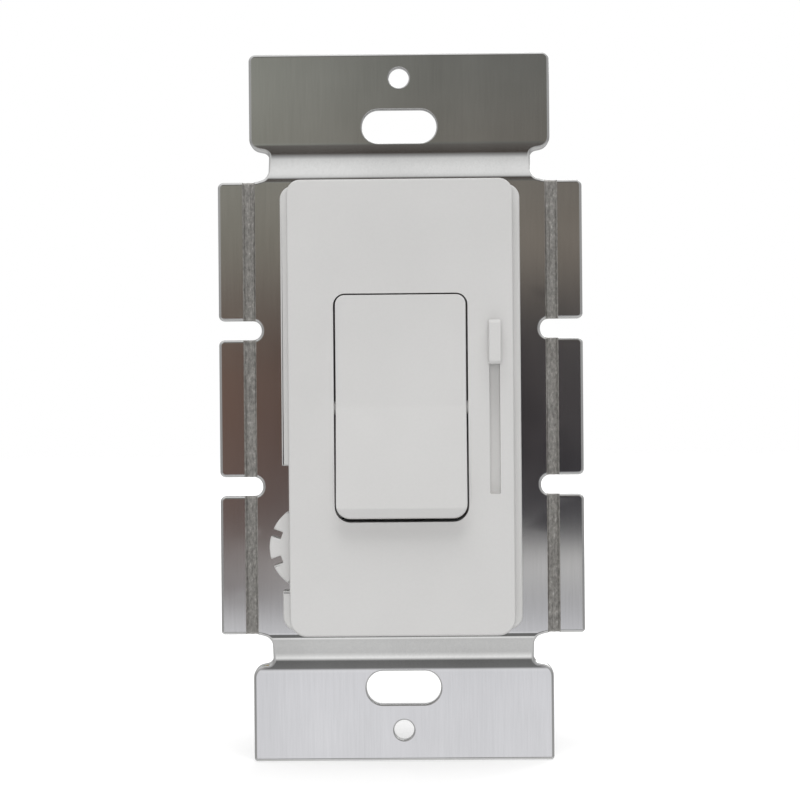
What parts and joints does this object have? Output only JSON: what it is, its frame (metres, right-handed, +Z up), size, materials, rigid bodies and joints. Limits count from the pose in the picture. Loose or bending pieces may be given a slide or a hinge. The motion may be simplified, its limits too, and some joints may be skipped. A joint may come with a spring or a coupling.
{
  "type": "slide dimmer switch",
  "caption": "Wall dimmer with rocker paddle, slide control and thumbwheel trim on a broad metal strap with break-off side fins.",
  "frame": {"origin": "on the wall plane, which is the back face of the strap's two ears, midway between the two mounting slots", "axes": "+Z up along the strap, +Y into the wall, so the controls face -Y and +X is to the user's right"},
  "size_m": [0.0536, 0.0392, 0.105],
  "materials": {
    "aluminium": "brushed sheet, vertical grain",
    "white_plastic": "moulded, fine satin",
    "black_plastic": "moulded, satin",
    "natural_nylon": "moulded nylon",
    "steel": "zinc plated",
    "brass": "plain brass",
    "copper": "copper alloy",
    "dark_screw": "blackened steel",
    "green_screw": "green dyed steel",
    "laminate": "glass fibre laminate with solder mask",
    "ferrite": "sintered ferrite",
    "red_epoxy": "dipped epoxy",
    "blue_case": "moulded case",
    "tan_body": "lacquered body",
    "pad_rubber": "silicone pad"
  },
  "bodies": {
    "frame": {"mounting_strap": "aluminium", "face_bezel": "white_plastic", "slide_pot_body": "steel", "trim_pot_body": "blue_case", "switch_base": "black_plastic", "contact_pivot_pin": "steel", "fixed_contact_upper": "brass", "fixed_contact_lower": "brass", "triac": "black_plastic", "triac_pad": "pad_rubber", "triac_screw": "steel", "circuit_board": "laminate", "choke_core": "ferrite", "choke_bobbin": "black_plastic", "choke_winding": "copper", "film_capacitor": "red_epoxy", "timing_capacitor": "blue_case", "trigger_diac": "blue_case", "bleed_resistor": "tan_body", "timing_resistor": "tan_body", "back_housing": "black_plastic", "case_screw_upper_left": "steel", "case_screw_upper_right": "steel", "case_screw_lower_left": "steel", "case_screw_lower_right": "steel", "terminal_plate_common": "brass", "terminal_plate_traveler_a": "brass", "terminal_plate_traveler_b": "brass", "terminal_screw_common": "dark_screw", "terminal_screw_traveler_a": "brass", "terminal_screw_traveler_b": "brass", "ground_bracket": "brass", "ground_screw": "green_screw"},
    "paddle": {"rocker_paddle": "white_plastic", "plunger_spring": "steel"},
    "plunger": {"plunger_pin": "natural_nylon"},
    "slider": {"slider_knob": "white_plastic", "slider_carrier": "white_plastic", "wiper_lever": "black_plastic"},
    "trim": {"trim_wheel": "white_plastic", "trim_pot_rotor": "natural_nylon"},
    "seesaw": {"contact_seesaw": "copper"}
  },
  "joints": [
    {"name": "rocker_pivot", "type": "hinge", "parent": "frame", "child": "paddle", "pos_m": [0, -0.0066, 0], "axis": [1, 0, 0], "range_deg": [0, 9.4]},
    {"name": "plunger_travel", "type": "slide", "parent": "paddle", "child": "plunger", "axis": [0, -0.9966, 0.0819], "range_m": [0, 0.0005], "stiffness_N_per_m": 20, "springref_m": -0.001, "deforming": ["plunger_spring"]},
    {"name": "slider_travel", "type": "slide", "parent": "frame", "child": "slider", "axis": [0, 0, -1], "range_m": [0, 0.0188]},
    {"name": "trim_turn", "type": "hinge", "parent": "frame", "child": "trim", "pos_m": [-0.013, -0.0048, -0.0204], "axis": [0, -1, 0], "range_deg": [-135, 135]},
    {"name": "contact_pivot", "type": "hinge", "parent": "frame", "child": "seesaw", "pos_m": [0, 0.0046, 0], "axis": [1, 0, 0], "range_deg": [-16, 0]}
  ],
  "couplings": [
    {"joint": "contact_pivot", "follows": "rocker_pivot", "ratio": -1.702}
  ]
}
